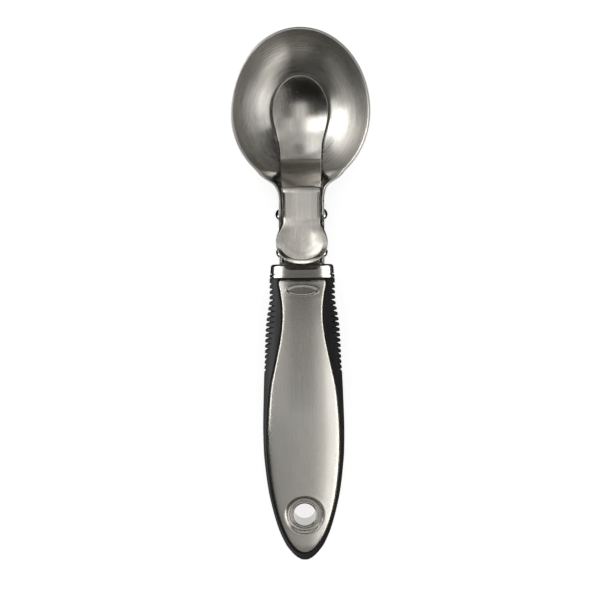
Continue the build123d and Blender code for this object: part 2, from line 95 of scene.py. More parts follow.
def spline(points, count):
    """Smooth open curve through the points (centripetal Catmull-Rom), resampled evenly by length."""
    p = np.array(points, float)
    p = np.vstack([2 * p[0] - p[1], p, 2 * p[-1] - p[-2]])
    out = []
    for i in range(1, len(p) - 2):
        p0, p1, p2, p3 = p[i - 1:i + 3]
        t0 = 0.0
        t1 = t0 + math.sqrt(np.linalg.norm(p1 - p0))
        t2 = t1 + math.sqrt(np.linalg.norm(p2 - p1))
        t3 = t2 + math.sqrt(np.linalg.norm(p3 - p2))
        for t in np.linspace(t1, t2, 24, endpoint=False):
            a1 = (t1 - t) / (t1 - t0) * p0 + (t - t0) / (t1 - t0) * p1
            a2 = (t2 - t) / (t2 - t1) * p1 + (t - t1) / (t2 - t1) * p2
            a3 = (t3 - t) / (t3 - t2) * p2 + (t - t2) / (t3 - t2) * p3
            b1 = (t2 - t) / (t2 - t0) * a1 + (t - t0) / (t2 - t0) * a2
            b2 = (t3 - t) / (t3 - t1) * a2 + (t - t1) / (t3 - t1) * a3
            out.append((t2 - t) / (t2 - t1) * b1 + (t - t1) / (t2 - t1) * b2)
    out.append(p[-2])
    return resample(np.array(out), count)


def resample(p, count):
    s = np.concatenate([[0], np.cumsum(np.linalg.norm(np.diff(p, axis=0), axis=1))])
    q = np.linspace(0, s[-1], count)
    return np.stack([np.interp(q, s, p[:, k]) for k in range(p.shape[1])], -1)


def build(name, verts_mm, faces, body, material, nodes=(), merge=0.004, recalc=True, second=None, on=()):
    """A mesh piece from working-frame millimetres."""
    me = bpy.data.meshes.new(name)
    me.from_pydata([tuple(v) for v in to_m(np.asarray(verts_mm))], [], [tuple(int(i) for i in f) for f in faces])
    for k in on:
        me.polygons[k].material_index = 1
    bm = bmesh.new()
    bm.from_mesh(me)
    bmesh.ops.remove_doubles(bm, verts=bm.verts, dist=merge / 1000.0)
    bmesh.ops.dissolve_degenerate(bm, edges=bm.edges, dist=merge / 2000.0)
    if recalc:
        bmesh.ops.recalc_face_normals(bm, faces=bm.faces)
    for f in bm.faces:
        f.smooth = True
    bm.to_mesh(me)
    bm.free()
    me.validate()
    o = bpy.data.objects.new(name, me)
    bpy.context.scene.collection.objects.link(o)
    me.materials.append(material)
    if second is not None:
        me.materials.append(second)
    if body is not None:
        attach(o, body)
    if nodes:
        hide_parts(*nodes)
    return o


def grid(nr, nc, close_c=False, start=0):
    """Quad faces over nr rows of nc points, closing each row on itself where asked."""
    out = []
    cols = nc if close_c else nc - 1
    for r in range(nr - 1):
        for c in range(cols):
            a = start + r * nc + c
            b = start + r * nc + (c + 1) % nc
            out.append((a, b, b + nc, a + nc))
    return out


# ------------------------------------------------------------------ materials
def new_material(name):
    m = bpy.data.materials.new(name)
    m.use_nodes = True
    nt = m.node_tree
    return m, nt, nt.nodes["Principled BSDF"]


def node(nt, kind, **values):
    n = nt.nodes.new(kind)
    for k, v in values.items():
        if k in n.inputs:
            n.inputs[k].default_value = v
        else:
            setattr(n, k, v)
    return n


def ramp(nt, src, stops):
    r = nt.nodes.new("ShaderNodeValToRGB")
    while len(r.color_ramp.elements) < len(stops):
        r.color_ramp.elements.new(0.5)
    for e, (pos, col) in zip(r.color_ramp.elements, stops):
        e.position = pos
        e.color = (col, col, col, 1) if isinstance(col, (int, float)) else (*col, 1)
    nt.links.new(src, r.inputs["Fac"])
    return r.outputs["Color"]


def math_node(nt, op, a, b):
    n = nt.nodes.new("ShaderNodeMath")
    n.operation = op
    for i, v in enumerate((a, b)):
        if isinstance(v, (int, float)):
            n.inputs[i].default_value = v
        else:
            nt.links.new(v, n.inputs[i])
    return n.outputs[0]


def mix_value(nt, fac, a, b):
    n = nt.nodes.new("ShaderNodeMix")
    n.data_type = "FLOAT"
    for i, v in ((0, fac), (2, a), (3, b)):
        if isinstance(v, (int, float)):
            n.inputs[i].default_value = v
        else:
            nt.links.new(v, n.inputs[i])
    return n.outputs[0]


def mix_color(nt, fac, a, b, mode="MIX"):
    n = nt.nodes.new("ShaderNodeMix")
    n.data_type = "RGBA"
    n.blend_type = mode
    for i, v in ((0, fac), (6, a), (7, b)):
        if isinstance(v, (int, float)):
            n.inputs[i].default_value = v
        elif isinstance(v, tuple):
            n.inputs[i].default_value = (*v, 1)
        else:
            nt.links.new(v, n.inputs[i])
    return n.outputs[2]


def local_mm(nt):
    """Object coordinates in millimetres about the working frame's origin, with the handle's tip undone."""
    tc = node(nt, "ShaderNodeTexCoord")
    a = node(nt, "ShaderNodeVectorMath", operation="SUBTRACT")
    a.inputs[1].default_value = (0, SH_Y / 1000, SH_Z / 1000)
    nt.links.new(tc.outputs["Object"], a.inputs[0])
    r = node(nt, "ShaderNodeVectorRotate", rotation_type="X_AXIS")
    r.inputs["Angle"].default_value = -TILT
    nt.links.new(a.outputs[0], r.inputs["Vector"])
    s = node(nt, "ShaderNodeVectorMath", operation="SCALE")
    s.inputs[3].default_value = 1000.0
    nt.links.new(r.outputs[0], s.inputs[0])
    return s.outputs[0]


def mapped(nt, vec, scale, offset=(0, 0, 0)):
    m = node(nt, "ShaderNodeMapping")
    m.inputs["Scale"].default_value = scale
    m.inputs["Location"].default_value = offset
    nt.links.new(vec, m.inputs["Vector"])
    return m.outputs[0]


def noise(nt, vec, scale, detail=3.0, rough=0.55, distortion=0.0):
    n = node(nt, "ShaderNodeTexNoise")
    n.inputs["Scale"].default_value = scale
    n.inputs["Detail"].default_value = detail
    n.inputs["Roughness"].default_value = rough
    n.inputs["Distortion"].default_value = distortion
    nt.links.new(vec, n.inputs["Vector"])
    return n.outputs["Fac"]


def polar_about(nt, vec, centre, squash_y=1.0):
    """Separated offset, plan radius, full radius, and cosine and sine of the bearing about a vertical axis through
    centre, in mm.
    """
    s = node(nt, "ShaderNodeVectorMath", operation="SUBTRACT")
    s.inputs[1].default_value = centre
    nt.links.new(vec, s.inputs[0])
    x = node(nt, "ShaderNodeSeparateXYZ")
    nt.links.new(s.outputs[0], x.inputs[0])
    yy = math_node(nt, "MULTIPLY", x.outputs[1], squash_y)
    r = math_node(nt, "SQRT", math_node(nt, "ADD", math_node(nt, "MULTIPLY", x.outputs[0], x.outputs[0]),
                                        math_node(nt, "MULTIPLY", yy, yy)), 0.0)
    rr = math_node(nt, "SQRT", math_node(nt, "ADD", math_node(nt, "MULTIPLY", r, r),
                                         math_node(nt, "MULTIPLY", x.outputs[2], x.outputs[2])), 0.0)
    c = math_node(nt, "DIVIDE", x.outputs[0], math_node(nt, "MAXIMUM", r, 0.01))
    s2 = math_node(nt, "DIVIDE", yy, math_node(nt, "MAXIMUM", r, 0.01))
    return x.outputs, r, rr, c, s2


def steel(name, kind="along", base=(0.60, 0.585, 0.555), rough=0.30, aniso=0.75, streak=1.0, bump=0.25, stain=1.0):
    """Brushed stainless. kind: 'along' is grained lengthwise, 'rings' round the bowl's axis, 'plain' is satin."""
    m, nt, p = new_material(name)
    mm = local_mm(nt)
    if kind == "rings":
        xyz, r, rr, c, s2 = polar_about(nt, mm, (0.0, 77.8, 26.0), 0.86)
        comb = node(nt, "ShaderNodeCombineXYZ")
        nt.links.new(r, comb.inputs[0])
        nt.links.new(math_node(nt, "MULTIPLY", c, 1.0), comb.inputs[1])
        nt.links.new(math_node(nt, "MULTIPLY", s2, 1.0), comb.inputs[2])
        fine_v = mapped(nt, comb.outputs[0], (3.2, 1.2, 1.2))
        wide_v = mapped(nt, comb.outputs[0], (0.55, 0.9, 0.9), (3, 7, 1))
        tang = node(nt, "ShaderNodeCombineXYZ")
        nt.links.new(math_node(nt, "MULTIPLY", s2, -1.0), tang.inputs[0])
        nt.links.new(c, tang.inputs[1])
        tangent = tang.outputs[0]
    elif kind == "along":
        fine_v = mapped(nt, mm, (3.4, 0.10, 3.4))
        wide_v = mapped(nt, mm, (0.9, 0.03, 0.9), (5, 2, 9))
        tang = node(nt, "ShaderNodeCombineXYZ", Y=CT, Z=ST)
        tang.inputs[1].default_value = CT
        tang.inputs[2].default_value = ST
        tangent = tang.outputs[0]
    else:
        fine_v = mapped(nt, mm, (2.0, 2.0, 2.0))
        wide_v = mapped(nt, mm, (0.5, 0.5, 0.5), (5, 2, 9))
        tangent = None
    fine = noise(nt, fine_v, 1.0, 4.0, 0.62)
    wide = noise(nt, wide_v, 1.0, 3.0, 0.5)
    cloud = noise(nt, mapped(nt, mm, (0.06, 0.05, 0.06), (11, 3, 5)), 1.0, 2.0, 0.5)
    f = ramp(nt, fine, [(0.28, 1.0 - 0.17 * streak), (0.72, 1.0 + 0.0)])
    w = ramp(nt, wide, [(0.3, 1.0 - 0.12 * streak), (0.7, 1.0)])
    warm = mix_color(nt, ramp(nt, cloud, [(0.35, 0.0), (0.7, 0.55 * stain)]), base,
                     (base[0] * 0.93, base[1] * 0.90, base[2] * 0.84))
    col = mix_color(nt, 1.0, mix_color(nt, 1.0, warm, f, "MULTIPLY"), w, "MULTIPLY")
    geo = node(nt, "ShaderNodeNewGeometry")
    edge = ramp(nt, geo.outputs["Pointiness"], [(0.52, 0.0), (0.60, 1.0)])
    col = mix_color(nt, math_node(nt, "MULTIPLY", edge, 0.35), col, (0.80, 0.79, 0.76))
    nt.links.new(col, p.inputs["Base Color"])
    rr_ = mix_value(nt, fine, rough - 0.06, rough + 0.07)
    rr2 = math_node(nt, "ADD", rr_, math_node(nt, "MULTIPLY", math_node(nt, "SUBTRACT", cloud, 0.5), 0.08 * stain))
    rr3 = math_node(nt, "SUBTRACT", rr2, math_node(nt, "MULTIPLY", edge, 0.03))
    nt.links.new(math_node(nt, "MAXIMUM", rr3, 0.06), p.inputs["Roughness"])
    p.inputs["Metallic"].default_value = 1.0
    if tangent is not None:
        # the highlight spreads across the grain
        across = node(nt, "ShaderNodeVectorMath", operation="CROSS_PRODUCT")
        nt.links.new(tangent, across.inputs[0])
        nt.links.new(geo.outputs["Normal"], across.inputs[1])
        p.inputs["Anisotropic"].default_value = aniso
        nt.links.new(across.outputs[0], p.inputs["Tangent"])
    b = node(nt, "ShaderNodeBump")
    b.inputs["Strength"].default_value = bump
    b.inputs["Distance"].default_value = 0.00006
    nt.links.new(mix_value(nt, 0.3, fine, wide), b.inputs["Height"])
    nt.links.new(b.outputs[0], p.inputs["Normal"])
    return m


def rubber(name):
    m, nt, p = new_material(name)
    mm = local_mm(nt)
    grain = noise(nt, mapped(nt, mm, (6, 6, 6)), 1.0, 4.0, 0.6)
    dust = noise(nt, mapped(nt, mm, (0.35, 0.12, 0.35), (4, 4, 4)), 1.0, 3.0, 0.55)
    geo = node(nt, "ShaderNodeNewGeometry")
    edge = ramp(nt, geo.outputs["Pointiness"], [(0.50, 0.0), (0.58, 1.0)])
    base = mix_color(nt, ramp(nt, dust, [(0.35, 0.0), (0.75, 1.0)]), (0.020, 0.020, 0.021), (0.032, 0.032, 0.034))
    base = mix_color(nt, math_node(nt, "MULTIPLY", edge, 0.5), base, (0.065, 0.065, 0.067))
    nt.links.new(base, p.inputs["Base Color"])
    nt.links.new(mix_value(nt, grain, 0.46, 0.62), p.inputs["Roughness"])
    p.inputs["Specular IOR Level"].default_value = 0.35
    p.inputs["Sheen Weight"].default_value = 0.03
    p.inputs["Sheen Roughness"].default_value = 0.45
    b = node(nt, "ShaderNodeBump")
    b.inputs["Strength"].default_value = 0.35
    b.inputs["Distance"].default_value = 0.00005
    nt.links.new(grain, b.inputs["Height"])
    nt.links.new(b.outputs[0], p.inputs["Normal"])
    return m


def plastic(name, base, rough):
    m, nt, p = new_material(name)
    mm = local_mm(nt)
    grain = noise(nt, mapped(nt, mm, (2.5, 2.5, 2.5)), 1.0, 3.0, 0.6)
    nt.links.new(mix_color(nt, grain, tuple(0.85 * c for c in base), base), p.inputs["Base Color"])
    nt.links.new(mix_value(nt, grain, rough - 0.06, rough + 0.08), p.inputs["Roughness"])
    b = node(nt, "ShaderNodeBump")
    b.inputs["Strength"].default_value = 0.2
    b.inputs["Distance"].default_value = 0.00005
    nt.links.new(grain, b.inputs["Height"])
    nt.links.new(b.outputs[0], p.inputs["Normal"])
    return m


MAT_BOWL = steel("stainless_bowl_rings", "rings", base=(0.815, 0.806, 0.785), rough=0.28, aniso=0.80, streak=1.15)
MAT_LEVER = steel("stainless_lever_brushed", "along", base=(0.66, 0.645, 0.61), rough=0.24, aniso=0.66, streak=0.9, bump=0.02)
# painted shade: the lever's side edges are coloured near-black to stand in for the dark shadow line round the tongue
MAT_EDGE_SHADE = steel("lever_edge_painted_shade", "plain", base=(0.16, 0.155, 0.15), rough=0.42, streak=0.5, bump=0.2)
MAT_COVER = steel("stainless_cover_brushed", "along", base=(0.60, 0.585, 0.555), rough=0.27, aniso=0.55, streak=0.40, bump=0.06)
MAT_BOLSTER = steel("bolster_metal_satin", "plain", base=(0.62, 0.605, 0.58), rough=0.24, streak=0.35, bump=0.10)
MAT_RIVET = steel("rivet_polished", "plain", base=(0.66, 0.65, 0.63), rough=0.16, streak=0.2, bump=0.08)
MAT_SLEEVE = steel("sleeve_polished", "plain", base=(0.70, 0.69, 0.67), rough=0.14, streak=0.2, bump=0.08)
MAT_SPRING = steel("spring_wire", "plain", base=(0.52, 0.51, 0.50), rough=0.24, streak=0.4, bump=0.1)
MAT_PIN = steel("pin_ground", "plain", base=(0.50, 0.49, 0.48), rough=0.30, streak=0.5, bump=0.1)
MAT_RUBBER = rubber("grip_rubber_black")
MAT_CORE = plastic("core_nylon_black", (0.03, 0.03, 0.032), 0.45)
MAT_WASHER = plastic("washer_acetal_white", (0.72, 0.72, 0.70), 0.40)


# ------------------------------------------------------------------ bowl and neck, one stamping
BOWL_A, BOWL_B_TIP, BOWL_B_NECK, BOWL_C, BOWL_Y, RIM_Z, SHEET = 28.8, 34.5, 31.5, 26.0, 77.8, 26.0, 1.0
LIP = 0.22
neck_w = pchip([14.0, 30, 41.4, 43.0, 44.6, 46.3, 48.0, 49.7, 51.5, 54.0],
               [9.4, 9.4, 9.4, 9.55, 9.85, 10.45, 11.75, 13.9, 16.1, 17.4])
neck_floor = pchip([14.0, 24, 34, 44.0, 48.0, 50.0, 52.0, 54.0], [8.7, 9.8, 10.9, 12.0, 12.35, 12.4, 12.3, 12.1])
neck_n = pchip([14.0, 40, 44.6, 47.0, 49, 51.5, 54.0], [7.0, 7.0, 5.4, 4.0, 3.0, 2.2, 2.0])
wall_top = pchip([13.0, 14.6, 20.0, 24.5, 27.8, 30.5, 32.6, 35.4, 39.0, 43.0, 46.5, 50.0, 120.0],
                 [20.4, 20.4, 20.7, 21.3, 22.9, 24.9, 26.1, 26.7, 26.7, 26.3, 26.0, 26.0, 26.0])


def bowl_section(y, t, count):
    """Open curve from the right edge, under, to the left edge, at sheet offset t."""
    zc = RIM_Z - LIP
    b = (BOWL_B_TIP if y > BOWL_Y else BOWL_B_NECK) - t
    s = (y - BOWL_Y) / b
    r = math.sqrt(max(0.0, 1 - s * s))
    th = np.linspace(0, math.pi, 361)
    c, sn = np.cos(th), np.sin(th)
    we, he = (BOWL_A - t) * r, (BOWL_C - LIP - t) * r
    if y > 59.0:
        p = np.stack([we * c, zc - he * sn], -1)
    else:
        wn, hn, n = neck_w(y) - t, zc - neck_floor(y) - t, neck_n(y)
        rn = 1.0 / ((np.abs(c) / wn) ** n + (np.abs(sn) / hn) ** n) ** (1 / n)
        if r > 1e-4:
            re = 1.0 / np.sqrt((c / we) ** 2 + (sn / he) ** 2)
        else:
            re = np.zeros_like(rn)
        k = (1.6 + 1.4 * float(smooth((y - 44.0) / 6.0))) * float(smooth((59.0 - y) / 9.0)) + 1e-6
        d = np.maximum(0.0, 1 - np.abs(re - rn) / k)
        rad = np.maximum(re, rn) + k * d * d / 4
        p = np.stack([rad * c, zc - rad * sn], -1)
    top = float(wall_top(y)) - LIP
    if top > zc + 1e-6:
        p = np.vstack([[p[0, 0], top], p, [p[-1, 0], top]])
    elif top < zc - 1e-6:
        keep = p[:, 1] <= top
        i0, i1 = np.argmax(keep), len(keep) - 1 - np.argmax(keep[::-1])
        xr = np.interp(top, [p[i0, 1], p[i0 - 1, 1]], [p[i0, 0], p[i0 - 1, 0]])
        xl = np.interp(top, [p[i1, 1], p[i1 + 1, 1]], [p[i1, 0], p[i1 + 1, 0]])
        p = np.vstack([[xr, top], p[i0:i1 + 1], [xl, top]])
    return resample(p, count)


def lip_points(po, pi, up=(0, 0, 1), r=LIP, steps=3):
    d = pi - po
    d = d / max(1e-9, np.linalg.norm(d))
    up = np.array(up, float)
    out = []
    for a in np.linspace(0, math.pi / 2, steps + 1)[1:]:
        out.append(po + d * r * (1 - math.cos(a)) + up * r * math.sin(a))
    mid = []
    for a in np.linspace(math.pi / 2, 0, steps + 1)[:-1]:
        mid.append(pi - d * r * (1 - math.cos(a)) + up * r * math.sin(a))
    return out + mid


def make_bowl():
    N = 97
    ys = list(np.linspace(14.6, 40.0, 34)[:-1]) + list(np.linspace(40.0, 57.0, 58)[:-1])
    a0 = math.asin((57.0 - BOWL_Y) / BOWL_B_NECK)
    a1 = math.pi / 2
    phis = np.linspace(a0, a1, 110)
    ys += [BOWL_Y + (BOWL_B_TIP if a > 0 else BOWL_B_NECK) * math.sin(a) for a in phis]
    rows = []
    for y in ys:
        b = BOWL_B_TIP if y > BOWL_Y else BOWL_B_NECK
        s = (y - BOWL_Y) / b
        f = float(smooth((y - 44.0) / 12.0))
        yi = y - s * SHEET * f
        if y <= 44:
            yi = y
        o = bowl_section(min(y, 112.3), 0.0, N)
        i = bowl_section(min(yi, 111.3), SHEET, N)
        o3 = np.stack([o[:, 0], np.full(N, y), o[:, 1]], -1)
        i3 = np.stack([i[:, 0], np.full(N, yi), i[:, 1]], -1)
        if y > 112.2999:
            o3 = np.tile([0.0, 112.3, RIM_Z - LIP], (N, 1))
            i3 = np.tile([0.0, 111.3, RIM_Z - LIP], (N, 1))
        # the neck's own wall leaves its end square
        loop = list(o3) + lip_points(o3[-1], i3[-1]) + list(i3[::-1]) + lip_points(i3[0], o3[0])
        rows.append(loop)
    nc = len(rows[0])
    v = np.array(rows).reshape(-1, 3)
    f = grid(len(rows), nc, close_c=True)
    # square end of the neck
    k = 6
    for j in range(N - 1):
        f.append((j + 1, j, N + k + (N - 1 - j), N + k + (N - 2 - j)))
    f.append(tuple([N - 1] + list(range(N, N + k)) + [N + k]))
    f.append(tuple([N + k + N - 1] + list(range(2 * N + k, 2 * N + 2 * k)) + [0]))
    return build("bowl_and_neck", v, f, "scoop", MAT_BOWL, ["scoop_bowl"])


bowl = make_bowl()

# ------------------------------------------------------------------ ejector lever, one stamping
LEVER_T = 1.2


def bowl_in_z(y):
    b = (BOWL_B_TIP if y > BOWL_Y else BOWL_B_NECK) - SHEET
    s = (y - BOWL_Y) / b
    return RIM_Z - (BOWL_C - SHEET) * math.sqrt(max(0.0, 1 - s * s))


path = []
for yy in (99.0, 96.0, 93.0, 89.5, 86.0, 82.0, 77.8, 73.5, 69.5, 66.0, 63.0, 60.6, 58.7):
    sl = (bowl_in_z(yy + 0.01) - bowl_in_z(yy - 0.01)) / 0.02
    q = math.hypot(1, sl)
    path.append((yy - 0.4 * sl / q, bowl_in_z(yy) + 0.4 / q))
path += [(57.1, 8.2), (55.7, 9.8), (54.4, 12.2), (53.1, 15.2), (51.6, 18.1), (50.0, 20.7), (48.5, 23.0),
         (47.1, 25.1), (46.1, 26.5), (45.3, 27.25), (44.5, 27.47), (43.4, 27.46), (41.0, 27.42), (37.0, 27.4), (33.5, 27.5), (30.5, 27.95), (27.0, 28.9),
         (23.0, 30.1), (19.5, 30.9), (16.8, 31.2), (14.6, 31.2)]
path_d = spline(path, 900)[::-1]
path_t = np.gradient(path_d, axis=0)
path_t /= np.linalg.norm(path_t, axis=1)[:, None]
path_n = np.stack([-path_t[:, 1], path_t[:, 0]], -1)
path_n *= np.sign(path_n[:, 1])[:, None]
lever_dish = pchip([14.0, 18, 22, 27, 31, 34, 46, 48.5, 52, 56, 60, 100],
                   [0.004, 1 / 60, 1 / 52, 1 / 80, -1 / 200, -1 / 110, -1 / 110, 1 / 200, 1 / 80, 1 / 45, 1 / 29, 1 / 27.0])
tongue_outline = [(0.0, 94.6), (3.5, 94.0), (6.6, 92.2), (9.2, 89.3), (10.9, 85.6), (11.75, 81.4), (11.75, 77.4),
                  (11.1, 73.0), (10.1, 69.0), (9.2, 65.0), (8.8, 61.0), (8.65, 57.0), (8.5, 53.0), (8.25, 48.0),
                  (7.95, 42.0), (7.95, 36.0), (8.0, 33.6), (8.5, 31.2), (9.4, 28.8), (10.2, 26.4), (10.6, 24.0),
                  (10.45, 21.8), (9.6, 19.5), (7.9, 17.7), (5.6, 16.3), (2.8, 15.4), (0.0, 15.15)]
flange = pchip([26.0, 29.2, 29.9, 30.5, 30.95, 31.45, 31.8, 32.6, 33.8, 35.4, 37.0, 38.2, 39.0, 39.4, 40.1, 41.0, 41.7, 42.4, 44.5],
               [0.0, 0.0, 0.35, 1.3, 4.0, 7.0, 8.4, 9.4, 10.3, 10.6, 10.3, 9.4, 8.4, 7.2, 5.0, 2.4, 0.7, 0.0, 0.0])


def full_outline(points, count):
    """One half of a closed outline as an even curve, meeting the centre line square."""
    p = np.array(points, float)
    mirror0, mirror1 = p[1:4][::-1] * [-1, 1], p[-4:-1][::-1] * [-1, 1]
    s = spline(np.vstack([mirror0, p, mirror1]), 6000)
    i0 = np.argmin(np.hypot(s[:, 0] - p[0, 0], s[:, 1] - p[0, 1]))
    i1 = np.argmin(np.hypot(s[:, 0] - p[-1, 0], s[:, 1] - p[-1, 1]))
    s = s[i0:i1 + 1]
    s[0], s[-1] = p[0], p[-1]
    return resample(s, count)


def outward(o):
    t = np.gradient(o, axis=0)
    t[0], t[-1] = [1, 0], [-1, 0]
    t /= np.linalg.norm(t, axis=1)[:, None]
    return np.stack([-t[:, 1], t[:, 0]], -1)


def lever_point(x, y, lift):
    """Point of the sheet at plan place (x, y on the centre line) and lift above the underside."""
    i = np.interp(y, path_d[:, 0], np.arange(len(path_d)))
    py, pz = np.interp(i, np.arange(len(path_d)), path_d[:, 0]), np.interp(i, np.arange(len(path_d)), path_d[:, 1])
    ny, nz = np.interp(i, np.arange(len(path_d)), path_n[:, 0]), np.interp(i, np.arange(len(path_d)), path_n[:, 1])
    h = lever_dish(y) * x * x / 2 + lift
    return np.stack([x, py + ny * h, pz + nz * h], -1)


def make_lever():
    T, M = 330, 61
    out = full_outline(tongue_outline, T)
    n = outward(out)
    steep = 1 - smooth((out[:, 1] - 44.0) / 3.0) * (1 - smooth((out[:, 1] - 56) / 4.0))
    rows = []
    r = 0.34
    arc = np.linspace(math.pi / 2, 0, 6)[1:]
    for i in range(T):
        xo, yo = out[i]
        nn = n[i]
        down = float(flange(yo))
        neck = float(smooth((yo - 22.0) / 10.0) * (1 - smooth((yo - 42.0) / 7.0)))
        sh = 0.34 + 1.0 * neck      # shoulder radius
        sh = min(sh, max(0.34, xo * 0.6))
        row = []
        x_in = max(0.0, xo - sh * nn[0])
        y_in = yo - sh * nn[1]
        pad_c = (y_in - 22.5)
        u = np.sin(np.linspace(-1, 1, M) * math.pi / 2) * 0.35 + np.linspace(-1, 1, M) * 0.65
        top = []
        for uu in u:
            x = uu * x_in
            lift = LEVER_T
            # rolled rim and dish of the thumb pad
            q = ((abs(x) / 10.6) ** 2.2 + ((23.4 - y_in) / 8.25) ** 2.2) ** (1 / 2.2) if y_in < 23.4 else abs(x) / (x_in + 0.34)
            low_side = 0.30 + 0.70 * float(smooth((23.6 - y_in) / 4.5))
            fade = float(1 - smooth((y_in - 22.0) / 9.0))
            lift -= 0.36 * fade * float(smooth((0.80 - q) / 0.52))
            lift -= 0.68 * low_side * fade * min(1.0, max(0.0, math.hypot(max(0.0, q - 0.80), 0.02) - 0.02) / 0.148)
            # press mark where the tongue turns into the bowl
            lift += 0.09 * math.exp(-((y_in - 52.2 - 0.017 * x * x) / 0.5) ** 2)
            top.append(lever_point(np.array(x), np.array(y_in), lift))
        row += top
        crest = lift                                          # height of the sheet where the edge starts to round
        for a in arc:
            x = max(0.0, xo - sh * nn[0] * (1 - math.cos(a)))
            y = yo - sh * nn[1] * (1 - math.cos(a))
            row.append(lever_point(np.array(x), np.array(y), crest - sh * (1 - math.sin(a))))
        low = min(0.3, LEVER_T * 0.3) if sh < 0.6 else 0.0
        depth = max(down, 0.0)
        base = crest - sh
        bottom = min(0.25, base - 0.05) if sh < 0.6 else min(0.15 - 0.25 * neck, base - 0.15)
        row.append(lever_point(np.array(xo), np.array(yo), bottom - depth * 0.5))
        row.append(lever_point(np.array(xo), np.array(yo), bottom - depth))
        inner = min(xo, 1.2)
        row.append(lever_point(np.array(max(0.0, xo - 0.25 * nn[0])), np.array(yo - 0.25 * nn[1]), bottom - depth - 0.22))
        row.append(lever_point(np.array(max(0.0, xo - 1.0 * nn[0])), np.array(yo - 1.0 * nn[1]), bottom - depth - 0.22 if depth > 0.3 else min(bottom - 0.22, 0.0)))
        row.append(lever_point(np.array(max(0.0, xo - 1.2 * nn[0])), np.array(yo - 1.2 * nn[1]), bottom - depth if depth > 0.3 else 0.0))
        row.append(lever_point(np.array(max(0.0, xo - 1.25 * nn[0])), np.array(yo - 1.25 * nn[1]), -0.25 * neck if depth > 0.3 else 0.0))
        xb, yb = max(0.0, xo - 1.5 * nn[0]), yo - 1.5 * nn[1]
        under = [lever_point(np.array(uu * xb), np.array(yb), 0.0) for uu in np.linspace(1, -1, M)]
        right = row[M:]
        left = [np.array([-p[0], p[1], p[2]]) for p in right][::-1]
        rows.append(row + under + left)
    v = np.array(rows)
    nc = v.shape[1]
    f = grid(T, nc, close_c=True)
    sides = {M + 4, M + 5, M + 6, nc - 8, nc - 7, nc - 6}          # the sheet's cut edge on both sides, which takes the near-black painted shade
    cut = [k for k in range(len(f)) if k % nc in sides]
    return build("lever_sheet", v.reshape(-1, 3), f, "lever", MAT_LEVER, ["ejector_lever"],
                 second=MAT_EDGE_SHADE, on=cut)


lever = make_lever()

# ------------------------------------------------------------------ handle: envelope, covers, grip
spine = pchip([16, 9, 0, -15, -30, -45, -60, -75, -90, -102, -110.6],
              [15.5, 16.0, 16.9, 18.0, 18.65, 18.8, 18.4, 17.5, 16.2, 15.05, 14.2])
half_h = pchip([16, 9, 0, -15, -30, -45, -60, -75, -88, -97, -103, -107, -109.2, -110.3, -110.6],
               [8.2, 8.3, 8.7, 9.4, 9.9, 10.1, 9.8, 8.9, 7.6, 6.6, 5.5, 4.1, 2.8, 1.5, 0.95])
half_w = pchip([16, 9.1, 5, 0.0, -4.2, -8.4, -12.6, -16.9, -25.2, -33.7, -42.2, -55.0, -63.4, -72.0, -80.6, -89.2,
                -93.5, -97.9, -102.2, -104.4, -106.4, -108.6, -109.8, -110.4, -110.6],
               [13.4, 13.7, 13.7, 13.8, 14.4, 15.1, 15.5, 15.75, 16.05, 16.45, 16.75, 17.05, 16.9, 16.2, 15.1, 13.3,
                12.15, 10.75, 8.9, 7.75, 6.3, 4.35, 2.9, 1.6, 1.1])
POWER = 2.7
cover_half = [(9.85, 7.2), (9.85, 5.8), (9.45, 4.1), (9.1, 2.1), (8.8, 0.0), (8.55, -2.1), (8.45, -4.1), (8.4, -6.2),
              (8.45, -8.3), (8.6, -10.4), (8.85, -12.5), (9.45, -16.7), (10.3, -20.9), (11.2, -25.0), (12.15, -29.3),
              (13.1, -33.5), (13.85, -37.7), (14.35, -41.9), (14.75, -46.1), (15.05, -50.5), (15.2, -54.7),
              (15.25, -58.9), (15.2, -63.1), (15.0, -67.4), (14.7, -71.7), (14.25, -76.0), (13.65, -80.3),
              (12.9, -84.7), (11.95, -88.9), (10.65, -93.2), (8.95, -97.6), (6.75, -101.9), (5.35, -103.9),
              (3.6, -105.9), (1.8, -107.0), (0.0, -107.4)]
HOLE_Y = -89.6
HOLE_Z = float(spine(HOLE_Y))
HOLE_TILT = math.atan((float(spine(HOLE_Y + 3)) - float(spine(HOLE_Y - 3))) / 6)


def skin_z(x, y, side, out=0.0):
    """Height of the handle's envelope above or below plan place x, y."""
    w, h = half_w(y) + out, half_h(y) + out
    r = np.maximum(0.0, 1 - np.abs(x / w) ** POWER)
    return spine(y) + side * h * r ** (1 / POWER)


def cover_outline(count):
    """Right half of a cover's plan outline, from the top corner's start to the tip."""
    r = 1.25
    x0 = 9.85
    cx, cy = x0 - r, 7.2
    corner = [(cx + r * math.sin(a), cy + r * math.cos(a)) for a in np.linspace(0, math.pi / 2, 12)]
    p = np.array(cover_half[1:])
    tail = p[-4:-1][::-1] * [-1, 1]
    s = spline(np.vstack([[[x0, 8.4], [x0, 7.2]], p, tail]), 8000)
    i0 = np.argmin(np.abs(s[:2000, 1] - 7.2))
    i1 = np.argmin(np.hypot(s[:, 0], s[:, 1] + 107.4))
    s = s[i0 + 1:i1 + 1]
    s[-1] = [0.0, -107.4]
    return resample(np.vstack([corner, s]), count)


def outline_normals(o):
    t = np.gradient(o, axis=0)
    t /= np.linalg.norm(t, axis=1)[:, None]
    n = np.stack([-t[:, 1], t[:, 0]], -1)
    n[0], n[-1] = [0.0, 1.0], [0.0, -1.0]
    return n


def hole_frame(p, side):
    """Distance from the hanging hole's axis, and height along it, of points in the working frame."""
    dy, dz = p[..., 1] - HOLE_Y, p[..., 2] - HOLE_Z
    c, s = math.cos(HOLE_TILT), math.sin(HOLE_TILT)
    a = -dy * s + dz * c
    b = dy * c + dz * s
    return np.hypot(p[..., 0], b), a * side


